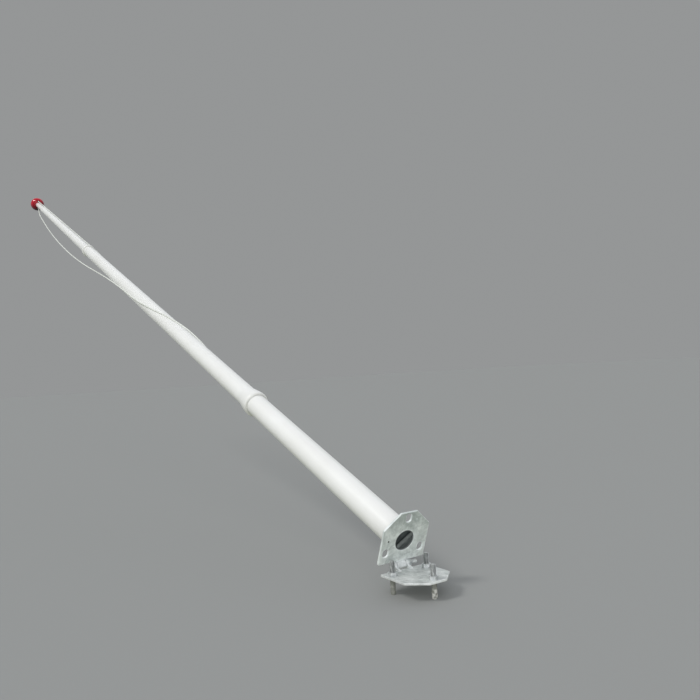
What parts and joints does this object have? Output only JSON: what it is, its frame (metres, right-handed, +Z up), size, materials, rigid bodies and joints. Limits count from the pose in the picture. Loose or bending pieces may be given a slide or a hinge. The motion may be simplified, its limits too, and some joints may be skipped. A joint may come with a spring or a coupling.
{
  "type": "tilting garden flagpole",
  "caption": "White glass-fibre garden flagpole in three sections, with a red ball truck and a halyard, leaning on its hinged galvanised ground plate.",
  "frame": {"origin": "centre of the bolt circle, on the underside of the ground plate", "axes": "+Z up, +Y along the hinge bolt, the pole leans back over -X"},
  "size_m": [5.7507, 0.16, 2.4366],
  "materials": {
    "galvanised_steel": "hot-dip galvanised, mottled",
    "anchor_rod_steel": "galvanised thread, cement-splashed below",
    "zinc_fastener": "zinc plated",
    "black_plastic": "moulded",
    "white_gelcoat": "gelcoat on glass fibre",
    "cast_aluminium": "cast",
    "grey_nylon": "turned",
    "red_gloss": "gloss",
    "white_nylon": "moulded",
    "halyard_rope": "braided"
  },
  "bodies": {
    "ground": {"ground_plate": "galvanised_steel", "anchor_rod_front": "anchor_rod_steel", "anchor_rod_left": "anchor_rod_steel", "anchor_rod_right": "anchor_rod_steel", "spacer_nut_front": "zinc_fastener", "spacer_nut_left": "zinc_fastener", "spacer_nut_right": "zinc_fastener", "hinge_ear_left": "galvanised_steel", "hinge_ear_right": "galvanised_steel", "hinge_bolt": "zinc_fastener", "hinge_nut": "zinc_fastener"},
    "pole": {"flange_plate": "galvanised_steel", "hinge_knuckle": "galvanised_steel", "foot_stub": "galvanised_steel", "foot_plug": "black_plastic", "base_section": "white_gelcoat", "middle_section": "white_gelcoat", "top_section": "white_gelcoat", "truck_cap": "cast_aluminium", "halyard_sheave": "grey_nylon", "sheave_axle": "zinc_fastener", "truck_ball": "red_gloss", "halyard_cleat": "white_nylon", "halyard_hitch": "halyard_rope", "halyard_turn": "halyard_rope", "halyard_taut": "halyard_rope", "halyard_slack": "halyard_rope", "halyard_laid": "halyard_rope"}
  },
  "joints": [
    {"name": "pole_tilt", "type": "hinge", "parent": "ground", "child": "pole", "pos_m": [-0.079, 0, 0.0155], "axis": [0, 1, 0], "range_deg": [-22, 68]}
  ]
}
